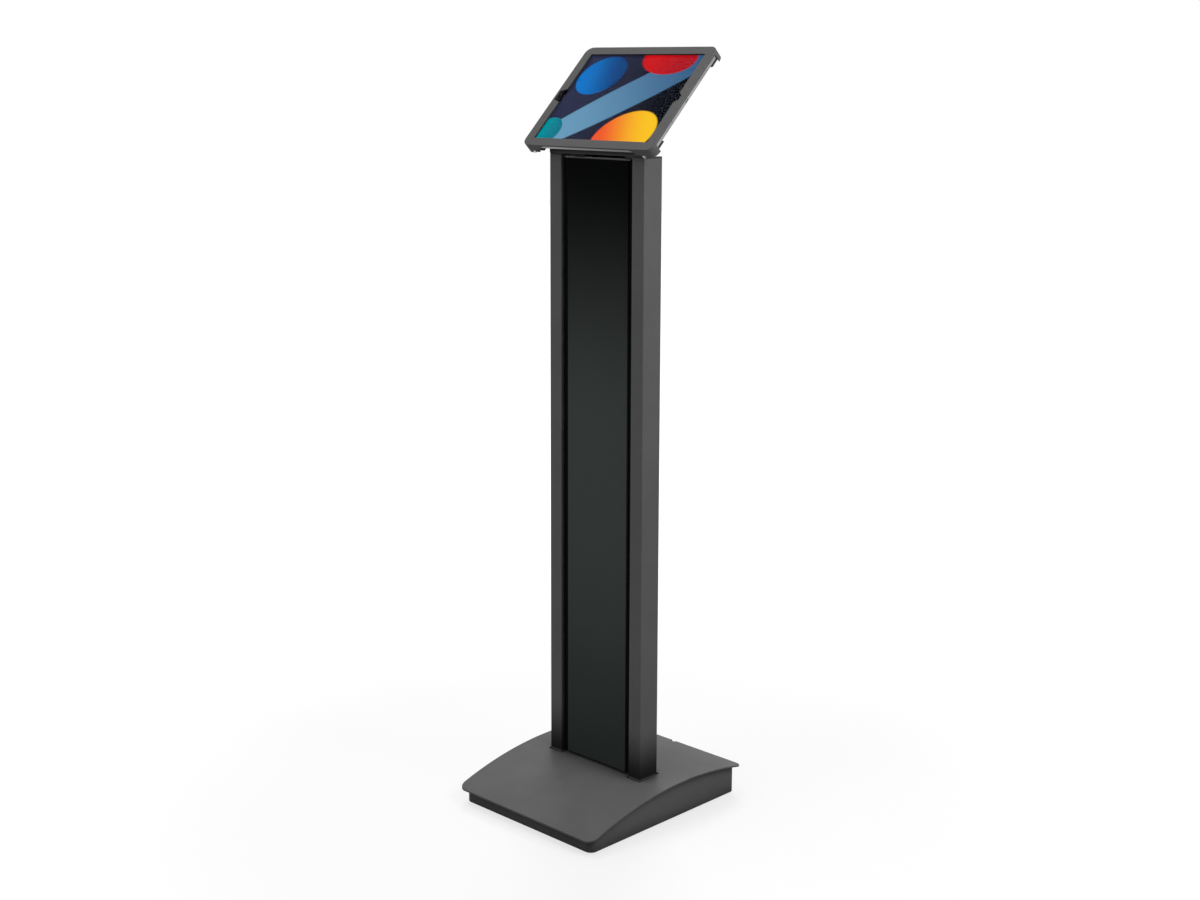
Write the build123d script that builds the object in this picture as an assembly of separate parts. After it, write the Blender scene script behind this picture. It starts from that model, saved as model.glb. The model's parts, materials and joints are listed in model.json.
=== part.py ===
from build123d import *
from math import asin, cos, degrees, radians, sin, sqrt
import os

# Tablet floor kiosk: an arched base plate over a shallow tray, a column of two tube posts
# with a panel between them, and a tilted tablet enclosure that turns on a swivel.
# Millimetres. +Z up, front towards -Y, origin on the floor under the centre of the base.

# ---- Base -------------------------------------------------------------------------------
foot_height = 3.0
foot_radius = 10.0
foot_x = 112.0
foot_y = 140.0
tray_width = 293.0
tray_depth = 351.0
tray_corner_radius = 12.0
tray_wall = 2.0
tray_floor = 3.0
cover_overhang = 9.5
cover_corner_radius = 16.0
cover_thickness = 2.5
cover_arc_radius = 648.0
cover_apex_y = 36.0
cover_apex_height = 62.5            # top of the arch above the tray's underside
cover_to_tray_gap = 0.3
cover_edge_round = 0.6
standoff_inset_x = 16.5             # from the tray's outer side to the standoff's axis
standoff_inset_y = 20.5
standoff_radius = 5.0
boss_radius = 7.0
boss_drop = 8.0                     # weld boss under the cover, measured on its axis
cover_screw_radius = 2.0
small_head_radius = 3.8
small_head_height = 2.2
thread_depth = 6.0
ballast_thickness = 8.0
ballast_margin_x = 26.0             # from the tray's inner wall to the plate's edge
ballast_margin_y = 28.0
ballast_post_gap = 1.5
ballast_screw_x = 60.0
ballast_screw_y = 115.0
ballast_screw_radius = 2.5
cable_hole_radius = 8.0             # through the tray's back wall
cable_bore_radius = 5.0             # through the grommet
cable_hole_height = 24.0
grommet_lip = 2.5
grommet_lip_thickness = 1.5
cover_notch_width = 10.0
cover_notch_depth = 7.0
cover_cable_hole_radius = 12.0

# ---- Column -----------------------------------------------------------------------------
column_height = 1077.0              # post top above the tray's underside
column_width = 208.0
column_center_y = 3.35
post_width = 26.0
post_depth = 41.5
post_wall = 2.0
post_corner_radius = 1.5
post_cover_gap = 3.0
cap_thickness = 3.0
cap_plug_depth = 10.0
cap_edge_round = 1.2
rail_width = 20.0
rail_recess = 7.2                   # from the posts' front and back faces to the rails
rail_wall = 1.5
panel_thickness = 3.2
panel_width = 132.4
panel_to_cover_gap = 3.0
panel_top_drop = 6.0                # from the post tops down to the panels' top edge
panel_corner_radius = 1.0
trim_thickness = 1.5
trim_overhang = 5.5
trim_lip = 0.8
crossbar_height = 25.0
crossbar_wall = 2.0
crossbar_levels = (0.06, 0.5, 0.86)  # shares of the rail length
spigot_height = 60.0
spigot_clearance = 0.15
post_screw_height = 40.0
post_screw_pitch = 20.0
post_screw_radius = 2.5
post_screw_reach = 8.0              # from the post's inner face into the spigot
blind_hole_extra = 0.4
overrun = 1.0  # how far a cut runs past the face it opens
spigot_bolt_radius = 4.0
spigot_bolt_head_radius = 6.5
spigot_bolt_head_height = 2.4
spigot_bolt_reach = 30.0
rear_screw_rows = 3
rear_screw_end_inset = 60.0
rear_screw_reach = 8.0

# ---- Tablet -----------------------------------------------------------------------------
tablet_width = 280.6
tablet_height = 214.9
tablet_thickness = 6.4
tablet_corner_radius = 14.0
glass_thickness = 0.8
shell_wall = 1.2
shell_floor = 1.0
shell_edge_round = 1.0
module_margin = 3.2
module_thickness = 1.4
camera_edge_inset = 5.8
camera_radius = 2.0
camera_depth = 2.2
camera_gap = 0.3
cell_thickness = 2.6
cell_side_gap = 18.1                # from the shell's inner wall to the cells
cell_end_gap = 31.25
cell_board_gap = 7.0
board_width = 44.0
board_end_gap = 16.25
board_thickness = 1.0
port_width = 9.4
port_height = 2.7
port_depth = 7.0
port_wall = 0.45
port_floor = 1.0
port_gap = 0.1
speaker_hole_radius = 0.7
speaker_hole_pitch = 3.0
speaker_holes = 8
speaker_end_inset = 52.0            # from the tablet's long edges to each row's middle
button_length = 11.0
button_width = 2.0
button_proud = 0.4
button_clearance = 0.15
button_flange = 0.7
button_flange_thickness = 0.6
button_flange_gap = 0.1
volume_up_inset = 61.0              # from the tablet's left end
volume_down_inset = 78.0
power_inset = 28.0                  # from the tablet's top edge

# ---- Enclosure --------------------------------------------------------------------------
head_tilt = 45.0                    # screen plane above horizontal, degrees
claw_thickness = 1.2
side_gap = 0.2                      # tablet to claw, short sides
end_gap = 1.35                      # tablet to claw, long sides
frame_thickness = 3.0
frame_corner_radius = 14.0
frame_edge_round = 0.6
border_side = 17.7                  # frame border beside the opening
border_end = 16.0                   # and above and below it
opening_corner_radius = 2.0
left_notch_width = 29.0
left_notch_depth = 13.5
right_notch_width = 20.0
right_notch_depth = 7.0
notch_slope = 5.0
gasket_thickness = 1.0
gasket_width = 8.0
pad_thickness = 1.6
pad_length = 34.0
pad_width = 20.0
bracket_sheet = 2.0
pad_reach_share = 0.36  # of the tablet's diagonal
enclosure_depth = 18.0
long_claw_front = 48.0              # claw length along the long side, at the frame
long_claw_back = 20.0               # and at the back
short_claw_front = 16.0
short_claw_back = 12.0
arm_width = 26.0
arm_flange = 1.5
bracket_center_radius = 52.0
corner_plate_u = 42.0
corner_plate_v = 30.0
corner_tab_length = 16.0
frame_screw_radius = 1.5
frame_screw_head_radius = 2.75
frame_screw_head_height = 1.4
frame_screw_reach = 6.0

# ---- Swivel and its bracket -------------------------------------------------------------
swivel_above_posts = 90.5
swivel_behind_column = 29.4
hub_flange_radius = 43.0
hub_flange_thickness = 4.0
hub_boss_radius = 28.0
hub_boss_height = 4.0
hub_screw_circle = 33.0
hub_screw_radius = 2.0
hub_screw_head_radius = 4.0
hub_screw_head_height = 1.6
spindle_radius = 12.0
spindle_bore_radius = 7.0
spindle_clearance = 0.05
washer_thickness = 1.0
washer_radius = 26.0
running_gap = 0.1
head_plate_thickness = 3.0
nut_thickness = 6.0
nut_flats = 36.0
stop_pin_radius = 3.0
stop_pin_circle = 36.0
stop_pin_clearance = 0.4
stop_pin_proud = 1.5  # behind the head plate
stop_pin_seat = 1.0  # inside the hub
screw_tip_gap = 0.5
stop_pin_start_angle = 135.0
swivel_travel = 90.0
shoulder_share = 0.15  # straight share of the plate below the swivel
plate_top_radius = 52.0
cheek_back_rise = 16.0  # above the post tops
cheek_thickness = 3.0
cheek_reach = 90.0                  # down inside the column below the post tops
cheek_screw_radius = 2.5
cheek_screw_head_radius = 4.5
cheek_screw_head_height = 2.5
cheek_screw_levels = (22.0, 68.0)   # below the post tops
cheek_screw_reach = 6.0

# ---- Worked out from the sizes above ----------------------------------------------------
tray_bottom = foot_height
tray_floor_top = tray_bottom + tray_floor
cover_width = tray_width + 2 * cover_overhang
cover_depth = tray_depth + 2 * cover_overhang
cover_arc_center = tray_bottom + cover_apex_height - cover_arc_radius
post_top = tray_bottom + column_height
post_x = (column_width - post_width) / 2
post_inner_x = column_width / 2 - post_width
column_front = column_center_y - post_depth / 2
column_back = column_center_y + post_depth / 2
rail_front = column_front + rail_recess
rail_back = column_back - rail_recess
rail_inner_x = post_inner_x - rail_width
panel_bottom = tray_bottom + cover_apex_height + panel_to_cover_gap
panel_top = post_top - panel_top_drop
frame_width = tablet_width + 2 * (side_gap + claw_thickness)
frame_height = tablet_height + 2 * (end_gap + claw_thickness)
opening_width = frame_width - 2 * border_side
opening_height = frame_height - 2 * border_end
tablet_front = frame_thickness + gasket_thickness
shell_front = tablet_front + glass_thickness
tablet_back = tablet_front + tablet_thickness
sheet_front = tablet_back + pad_thickness
sheet_back = sheet_front + bracket_sheet
hub_face = sheet_back + hub_flange_thickness + hub_boss_height
plate_front = hub_face + washer_thickness + running_gap
plate_back = plate_front + head_plate_thickness
nut_front = plate_back + running_gap + washer_thickness
button_depth = (shell_front + tablet_back) / 2
shell_inner_width = tablet_width - 2 * shell_wall
shell_inner_height = tablet_height - 2 * shell_wall
swivel_y = column_center_y + swivel_behind_column
swivel_z = post_top + swivel_above_posts
tilt_cos = cos(radians(head_tilt))
tilt_sin = sin(radians(head_tilt))
head_frame = Plane(origin=(0, swivel_y, swivel_z), x_dir=(1, 0, 0), z_dir=(0, -tilt_sin, tilt_cos))

parts = {}


def arch_height(y, radius):
    return cover_arc_center + sqrt(radius ** 2 - (y - cover_apex_y) ** 2)


def arch_band(low_radius, high_radius):
    """Solid between two concentric arches; a low radius of None reaches the tray's underside."""
    half = cover_depth / 2 + 1
    high_start = (-half, arch_height(-half, high_radius))
    high_end = (half, arch_height(half, high_radius))
    high_mid = (cover_apex_y, cover_arc_center + high_radius)
    top = ThreePointArc(high_start, high_mid, high_end)
    if low_radius is None:
        low_start = (-half, tray_bottom)
        low_end = (half, tray_bottom)
        bottom = Line(low_end, low_start)
    else:
        low_start = (-half, arch_height(-half, low_radius))
        low_end = (half, arch_height(half, low_radius))
        bottom = ThreePointArc(low_end, (cover_apex_y, cover_arc_center + low_radius), low_start)
    outline = [top, Line(high_end, low_end), bottom, Line(low_start, high_start)]
    return extrude(Plane.YZ * make_face(outline), amount=cover_width / 2 + overrun, both=True)


def upright(face, bottom, top):
    return Pos(0, 0, bottom) * extrude(face, amount=top - bottom)


def layer(face, front, back):
    """Solid between two depths behind the enclosure's front face."""
    return Pos(0, 0, -back) * extrude(face, amount=back - front)


def rod(radius, bottom, top, x=0, y=0):
    return Pos(x, y, bottom) * Cylinder(radius, top - bottom, align=(Align.CENTER, Align.CENTER, Align.MIN))


def rod_along_x(radius, start, end, y, z):
    low = min(start, end)
    turned = Pos(low, y, z) * Rot(0, 90, 0)
    return turned * Cylinder(radius, abs(end - start), align=(Align.CENTER, Align.CENTER, Align.MIN))


def rod_along_y(radius, start, end, x, z):
    high = max(start, end)
    turned = Pos(x, high, z) * Rot(90, 0, 0)
    return turned * Cylinder(radius, abs(end - start), align=(Align.CENTER, Align.CENTER, Align.MIN))


def span_box(x_range, y_range, z_range):
    low = (min(x_range), min(y_range), min(z_range))
    size = (abs(x_range[1] - x_range[0]), abs(y_range[1] - y_range[0]), abs(z_range[1] - z_range[0]))
    return Pos(*low) * Box(*size, align=(Align.MIN, Align.MIN, Align.MIN))


def four_corners(x, y):
    return [(sx * x, sy * y) for sx in (-1, 1) for sy in (-1, 1)]


def group(pieces):
    return Compound(children=[piece for piece in pieces])


def keep(name, shape):
    parts[name] = shape


def keep_head(name, shape):
    parts[name] = head_frame * shape


# ---- Base -------------------------------------------------------------------------------
standoff_x = tray_width / 2 - standoff_inset_x
standoff_y = tray_depth / 2 - standoff_inset_y
cover_under_radius = cover_arc_radius - cover_thickness


def boss_face(y):
    return arch_height(y, cover_under_radius) - boss_drop


def post_opening(gap):
    face = Rectangle(post_width + 2 * gap, post_depth + 2 * gap)
    return [Pos(side * post_x, column_center_y) * face for side in (-1, 1)]


def make_tray():
    outer = RectangleRounded(tray_width, tray_depth, tray_corner_radius)
    inner = RectangleRounded(tray_width - 2 * tray_wall, tray_depth - 2 * tray_wall,
                             tray_corner_radius - tray_wall)
    rim_top = tray_bottom + cover_apex_height
    tray = upright(outer, tray_bottom, rim_top) - upright(inner, tray_floor_top, rim_top)
    tray = tray & arch_band(None, cover_under_radius - cover_to_tray_gap)
    for x, y in four_corners(standoff_x, standoff_y):
        tray -= rod(cover_screw_radius, tray_bottom, tray_floor_top, x, y)
    for x, y in four_corners(ballast_screw_x, ballast_screw_y):
        tray -= rod(ballast_screw_radius, tray_bottom, tray_floor_top, x, y)
    for side in (-1, 1):
        tray -= rod(spigot_bolt_radius, tray_bottom, tray_floor_top, side * post_x, column_center_y)
    wall_back = tray_depth / 2
    hole_z = tray_bottom + cable_hole_height
    inside = wall_back - tray_wall - overrun
    return tray - rod_along_y(cable_hole_radius, inside, wall_back + overrun, 0, hole_z)


def make_cover():
    outline = RectangleRounded(cover_width, cover_depth, cover_corner_radius)
    plate = upright(outline, tray_bottom, tray_bottom + cover_apex_height + overrun)
    plate = plate & arch_band(cover_under_radius, cover_arc_radius)
    plate = fillet(plate.faces().sort_by(Axis.Z)[-1].edges(), cover_edge_round)
    for face in post_opening(post_cover_gap):
        plate -= upright(face, tray_bottom, post_top)
    plate -= rod(cover_cable_hole_radius, tray_bottom, post_top, 0, column_center_y)
    notch_y = (cover_depth / 2 - cover_notch_depth, cover_depth / 2 + overrun)
    notch_x = (-cover_notch_width / 2, cover_notch_width / 2)
    plate -= span_box(notch_x, notch_y, (tray_bottom, post_top))
    under = arch_band(None, cover_under_radius)
    for x, y in four_corners(standoff_x, standoff_y):
        face_z = boss_face(y)
        boss = rod(boss_radius, face_z, post_top, x, y) & under
        plate += boss
        plate -= rod(cover_screw_radius, face_z, face_z + thread_depth, x, y)
    return plate


def make_ballast():
    width = tray_width - 2 * tray_wall - 2 * ballast_margin_x
    depth = tray_depth - 2 * tray_wall - 2 * ballast_margin_y
    top = tray_floor_top + ballast_thickness
    plate = upright(Rectangle(width, depth), tray_floor_top, top)
    for face in post_opening(ballast_post_gap):
        plate -= upright(face, tray_floor_top, top)
    for x, y in four_corners(ballast_screw_x, ballast_screw_y):
        plate -= rod(ballast_screw_radius, tray_floor_top, top, x, y)
    return plate


def screw_up(radius, head_radius, head_height, tip, x, y):
    head = rod(head_radius, tray_bottom - head_height, tray_bottom, x, y)
    return head + rod(radius, tray_bottom, tip, x, y)


def make_base():
    keep("base_tray", make_tray())
    keep("base_cover", make_cover())
    keep("ballast_plate", make_ballast())
    feet = [rod(foot_radius, 0, foot_height, x, y) for x, y in four_corners(foot_x, foot_y)]
    keep("rubber_feet", group(feet))
    standoffs = []
    cover_screws = []
    for x, y in four_corners(standoff_x, standoff_y):
        pillar = rod(standoff_radius, tray_floor_top, boss_face(y), x, y)
        standoffs.append(pillar - rod(cover_screw_radius, tray_floor_top, boss_face(y), x, y))
        tip = boss_face(y) + thread_depth - 1
        cover_screws.append(screw_up(cover_screw_radius, small_head_radius, small_head_height, tip, x, y))
    keep("cover_standoffs", group(standoffs))
    keep("cover_screws", group(cover_screws))
    ballast_top = tray_floor_top + ballast_thickness
    ballast_screws = [
        screw_up(ballast_screw_radius, small_head_radius, small_head_height, ballast_top - 1, x, y)
        for x, y in four_corners(ballast_screw_x, ballast_screw_y)
    ]
    keep("ballast_screws", group(ballast_screws))
    wall_out = tray_depth / 2
    wall_in = wall_out - tray_wall
    hole_z = tray_bottom + cable_hole_height
    lip_radius = cable_hole_radius + grommet_lip
    grommet = rod_along_y(cable_hole_radius, wall_in, wall_out, 0, hole_z)
    grommet += rod_along_y(lip_radius, wall_out, wall_out + grommet_lip_thickness, 0, hole_z)
    grommet += rod_along_y(lip_radius, wall_in - grommet_lip_thickness, wall_in, 0, hole_z)
    bore = rod_along_y(cable_bore_radius, wall_in - 5, wall_out + 5, 0, hole_z)
    keep("cable_grommet", grommet - bore)


# ---- Column -----------------------------------------------------------------------------
post_inner_width = post_width - 2 * post_wall
post_inner_depth = post_depth - 2 * post_wall


def make_post(side):
    outer = RectangleRounded(post_width, post_depth, post_corner_radius)
    tube_top = post_top - cap_thickness
    tube = upright(outer - Rectangle(post_inner_width, post_inner_depth), tray_floor_top, tube_top)
    tube = Pos(side * post_x, column_center_y) * tube
    for level in (0, post_screw_pitch):
        z = tray_floor_top + post_screw_height - level
        near = side * (post_inner_x - overrun)
        far = side * (post_inner_x + post_wall + overrun)
        tube -= rod_along_x(post_screw_radius, near, far, column_center_y, z)
    return tube


def make_spigot(side):
    block = Rectangle(post_inner_width - 2 * spigot_clearance, post_inner_depth - 2 * spigot_clearance)
    spigot = upright(block, tray_floor_top, tray_floor_top + spigot_height)
    spigot -= rod(spigot_bolt_radius, tray_floor_top, tray_floor_top + spigot_bolt_reach)
    spigot = Pos(side * post_x, column_center_y) * spigot
    for level in (0, post_screw_pitch):
        z = tray_floor_top + post_screw_height - level
        near = side * (post_inner_x - overrun)
        far = side * (post_inner_x + post_screw_reach + blind_hole_extra)
        spigot -= rod_along_x(post_screw_radius, near, far, column_center_y, z)
    return spigot


def make_cap(side):
    outer = RectangleRounded(post_width, post_depth, post_corner_radius)
    cap = upright(outer, post_top - cap_thickness, post_top)
    cap = fillet(cap.faces().sort_by(Axis.Z)[-1].edges(), cap_edge_round)
    plug = Rectangle(post_inner_width - 2 * spigot_clearance, post_inner_depth - 2 * spigot_clearance)
    cap += upright(plug, post_top - cap_thickness - cap_plug_depth, post_top - cap_thickness)
    return Pos(side * post_x, column_center_y) * cap


def rear_screw_spots():
    low = panel_bottom + rear_screw_end_inset
    high = panel_top - rear_screw_end_inset
    step = (high - low) / (rear_screw_rows - 1)
    x = (rail_inner_x + panel_width / 2) / 2
    return [(side * x, low + row * step) for side in (-1, 1) for row in range(rear_screw_rows)]


def make_rail(side):
    tube = Rectangle(rail_width, rail_back - rail_front)
    tube -= Rectangle(rail_width - 2 * rail_wall, rail_back - rail_front - 2 * rail_wall)
    rail = upright(tube, panel_bottom, panel_top)
    rail = Pos(side * (post_inner_x - rail_width / 2), column_center_y) * rail
    for x, z in rear_screw_spots():
        rail -= rod_along_y(post_screw_radius, rail_back - rail_wall - overrun, rail_back + overrun, x, z)
    for drop in cheek_screw_levels:
        near = side * (rail_inner_x - overrun)
        far = side * (rail_inner_x + rail_wall + overrun)
        rail -= rod_along_x(cheek_screw_radius, near, far, column_center_y, post_top - drop)
    return rail


def make_panel(front, back, top):
    face = RectangleRounded(panel_width, top - panel_bottom, panel_corner_radius)
    panel = extrude(Plane.XZ * face, amount=back - front)
    return Pos(0, back, (top + panel_bottom) / 2) * panel


def make_trim():
    front = rail_front - panel_thickness
    half = panel_width / 2 + trim_overhang
    top = (panel_top, panel_top + trim_thickness)
    cap = span_box((-half, half), (front - trim_thickness, rail_front), top)
    lip = span_box((-half, half), (front - trim_thickness, front), (panel_top - trim_lip, panel_top))
    return cap + lip


def make_crossbar(level):
    z = panel_bottom + level * (panel_top - panel_bottom)
    depth = rail_back - rail_front
    tube = Rectangle(depth, crossbar_height)
    tube -= Rectangle(depth - 2 * crossbar_wall, crossbar_height - 2 * crossbar_wall)
    return Pos(0, column_center_y, z) * extrude(Plane.YZ * tube, amount=rail_inner_x, both=True)


def make_column():
    post_screws = []
    bolts = []
    for side, name in ((-1, "left"), (1, "right")):
        keep(name + "_post", make_post(side))
        keep(name + "_post_spigot", make_spigot(side))
        keep(name + "_post_cap", make_cap(side))
        keep(name + "_panel_rail", make_rail(side))
        bolts.append(screw_up(spigot_bolt_radius, spigot_bolt_head_radius, spigot_bolt_head_height,
                              tray_floor_top + spigot_bolt_reach - 1, side * post_x, column_center_y))
        for level in (0, post_screw_pitch):
            z = tray_floor_top + post_screw_height - level
            head = rod_along_x(small_head_radius, side * (post_inner_x - small_head_height),
                               side * post_inner_x, column_center_y, z)
            shank = rod_along_x(post_screw_radius, side * post_inner_x,
                                side * (post_inner_x + post_screw_reach), column_center_y, z)
            post_screws.append(head + shank)
    keep("post_screws", group(post_screws))
    keep("spigot_bolts", group(bolts))
    keep("front_panel", make_panel(rail_front - panel_thickness, rail_front, panel_top))
    rear_panel = make_panel(rail_back, rail_back + panel_thickness, post_top)
    rear_screws = []
    panel_out = rail_back + panel_thickness
    for x, z in rear_screw_spots():
        rear_panel -= rod_along_y(post_screw_radius, rail_back - overrun, panel_out + overrun, x, z)
        head = rod_along_y(small_head_radius, panel_out, panel_out + small_head_height, x, z)
        shank = rod_along_y(post_screw_radius, panel_out - rear_screw_reach, panel_out, x, z)
        rear_screws.append(head + shank)
    keep("rear_panel", rear_panel)
    keep("rear_panel_screws", group(rear_screws))
    keep("panel_top_trim", make_trim())
    for level, name in zip(crossbar_levels, ("lower", "middle", "upper")):
        keep(name + "_crossbar", make_crossbar(level))


# ---- Head bracket and swivel ------------------------------------------------------------
def plate_point(along, depth):
    """(y, z) of a point in the tilted plate, along its slope from the swivel axis."""
    y = swivel_y + along * tilt_cos + depth * tilt_sin
    z = swivel_z + along * tilt_sin - depth * tilt_cos
    return (y, z)


def make_head_bracket():
    half = column_width / 2
    lip_front = column_center_y - post_depth / 2
    low = (lip_front - swivel_y - plate_front * tilt_sin) / tilt_cos
    lip_top = swivel_z + low * tilt_sin - plate_front * tilt_cos
    shoulder = low + shoulder_share * abs(low)
    outline = Polyline((-half, low), (half, low), (half, shoulder), (plate_top_radius, 0),
                       (-plate_top_radius, 0), (-half, shoulder), close=True)
    sketch = make_face(outline) + Circle(plate_top_radius)
    slot_arc = CenterArc((0, 0), stop_pin_circle, stop_pin_start_angle - swivel_travel, swivel_travel)
    sketch -= SlotArc(slot_arc, 2 * (stop_pin_radius + stop_pin_clearance))
    sketch -= Circle(spindle_radius + spindle_clearance)
    plate = head_frame * layer(sketch, plate_front, plate_back)
    plate += span_box((-half, half), (lip_front, lip_front + head_plate_thickness), (post_top, lip_top))
    front_y = rail_front + cheek_thickness / 2
    back_y = rail_back - cheek_thickness / 2
    bottom_z = post_top - cheek_reach
    along = (front_y - swivel_y - plate_back * tilt_sin) / tilt_cos
    inset = head_plate_thickness / 2
    corners = [
        (front_y, bottom_z),
        plate_point(along, plate_back - inset),
        plate_point(0, plate_back - inset),
        plate_point(0, plate_back + 3 * head_plate_thickness),
        (back_y, post_top + cheek_back_rise),
        (back_y, bottom_z),
    ]
    cheek = extrude(Plane.YZ * make_face(Polyline(*corners, close=True)), amount=cheek_thickness)
    bracket = plate
    for side in (-1, 1):
        start = rail_inner_x - cheek_thickness if side > 0 else -rail_inner_x
        bracket += Pos(start, 0, 0) * cheek
        for drop in cheek_screw_levels:
            near = side * (rail_inner_x - cheek_thickness - overrun)
            far = side * (rail_inner_x + overrun)
            bracket -= rod_along_x(cheek_screw_radius, near, far, column_center_y, post_top - drop)
    return bracket


def make_bracket_screws():
    screws = []
    for side in (-1, 1):
        seat = rail_inner_x - cheek_thickness
        for drop in cheek_screw_levels:
            z = post_top - drop
            inside = side * (seat - cheek_screw_head_height)
            tip = side * (seat + cheek_screw_reach)
            head = rod_along_x(cheek_screw_head_radius, inside, side * seat, column_center_y, z)
            shank = rod_along_x(cheek_screw_radius, side * seat, tip, column_center_y, z)
            screws.append(head + shank)
    return group(screws)


def on_circle(radius, angle):
    return (radius * cos(radians(angle)), radius * sin(radians(angle)))


def make_swivel():
    hub = rod(hub_flange_radius, -(sheet_back + hub_flange_thickness), -sheet_back)
    hub += rod(hub_boss_radius, -hub_face, -sheet_back)
    spindle_tip = nut_front + nut_thickness
    hub += rod(spindle_radius, -spindle_tip, -sheet_back)
    hub -= rod(spindle_bore_radius, -spindle_tip, -sheet_back)
    screws = []
    screw_tip = sheet_back + hub_flange_thickness - screw_tip_gap
    for angle in (0, 90, 180, 270):
        x, y = on_circle(hub_screw_circle, angle)
        hub -= rod(hub_screw_radius, -screw_tip - screw_tip_gap, -sheet_back, x, y)
        head = rod(hub_screw_head_radius, -sheet_front - hub_screw_head_height, -sheet_front, x, y)
        screws.append(head + rod(hub_screw_radius, -screw_tip, -sheet_front - hub_screw_head_height, x, y))
    pin_x, pin_y = on_circle(stop_pin_circle, stop_pin_start_angle)
    hub -= rod(stop_pin_radius, -sheet_back - hub_flange_thickness, -sheet_back - 1, pin_x, pin_y)
    keep_head("swivel_hub", hub)
    keep_head("hub_screws", group(screws))
    pin = rod(stop_pin_radius, -plate_back - stop_pin_proud, -sheet_back - stop_pin_seat, pin_x, pin_y)
    keep_head("stop_pin", pin)
    washer = Circle(washer_radius) - Circle(spindle_radius)
    keep_head("front_friction_washer", layer(washer, hub_face, hub_face + washer_thickness))
    keep_head("rear_friction_washer", layer(washer, nut_front - washer_thickness, nut_front))
    nut = RegularPolygon(nut_flats / 2, 6, major_radius=False) - Circle(spindle_radius)
    keep_head("retaining_nut", layer(nut, nut_front, nut_front + nut_thickness))


# ---- Enclosure --------------------------------------------------------------------------
def notch(side, width, depth):
    edge = opening_width / 2
    wide = width / 2
    narrow = wide - notch_slope
    outline = Polyline((edge - overrun, -wide), (edge, -wide), (edge + depth, -narrow), (edge + depth, narrow),
                       (edge, wide), (edge - overrun, wide), close=True)
    face = make_face(outline)
    return face if side > 0 else Rot(0, 0, 180) * face


def claw_keepers():
    """Four-corner regions that leave the claws' slanted ends on each side wall."""
    reach = frame_corner_radius + overrun
    half_u = frame_width / 2
    half_v = frame_height / 2
    front = -frame_thickness
    back = -enclosure_depth
    long_profile = Polyline((half_u - long_claw_front, front), (half_u, front), (half_u, back),
                            (half_u - long_claw_back, back), close=True)
    long_keeper = extrude(Plane.XZ * make_face(long_profile), amount=reach)
    long_keeper = Pos(0, half_v, 0) * long_keeper
    short_profile = Polyline((half_v - short_claw_front, front), (half_v, front), (half_v, back),
                             (half_v - short_claw_back, back), close=True)
    short_keeper = extrude(Plane.YZ * make_face(short_profile), amount=reach)
    short_keeper = Pos(half_u - reach, 0, 0) * short_keeper
    one = long_keeper + short_keeper
    left = mirror(one, about=Plane.YZ)
    return [one, left, mirror(one, about=Plane.XZ), mirror(left, about=Plane.XZ)]


def frame_screw_spots():
    return four_corners(frame_width / 2 - frame_corner_radius - corner_tab_length / 2, 1)


def make_front_frame():
    outline = RectangleRounded(frame_width, frame_height, frame_corner_radius)
    window = RectangleRounded(opening_width, opening_height, opening_corner_radius)
    window += notch(-1, left_notch_width, left_notch_depth)
    window += notch(1, right_notch_width, right_notch_depth)
    frame = layer(outline, 0, frame_thickness)
    frame = fillet(frame.faces().sort_by(Axis.Z)[-1].edges(), frame_edge_round)
    frame -= layer(window, -overrun, frame_thickness)
    inner = RectangleRounded(frame_width - 2 * claw_thickness, frame_height - 2 * claw_thickness,
                             frame_corner_radius - claw_thickness)
    walls = layer(outline - inner, frame_thickness, enclosure_depth)
    for keeper in claw_keepers():
        frame += walls & keeper
    screw_depth = (sheet_front + enclosure_depth) / 2
    for u, side in frame_screw_spots():
        near = side * (frame_height / 2 - claw_thickness - overrun)
        far = side * (frame_height / 2 + overrun)
        frame -= rod_along_y(frame_screw_radius, near, far, u, -screw_depth)
    return frame


def make_frame_screws():
    screws = []
    screw_depth = (sheet_front + enclosure_depth) / 2
    wall = frame_height / 2
    for u, side in frame_screw_spots():
        crown = side * (wall + frame_screw_head_height)
        tip = side * (wall - frame_screw_reach)
        head = rod_along_y(frame_screw_head_radius, side * wall, crown, u, -screw_depth)
        screws.append(head + rod_along_y(frame_screw_radius, tip, side * wall, u, -screw_depth))
    return group(screws)


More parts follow.
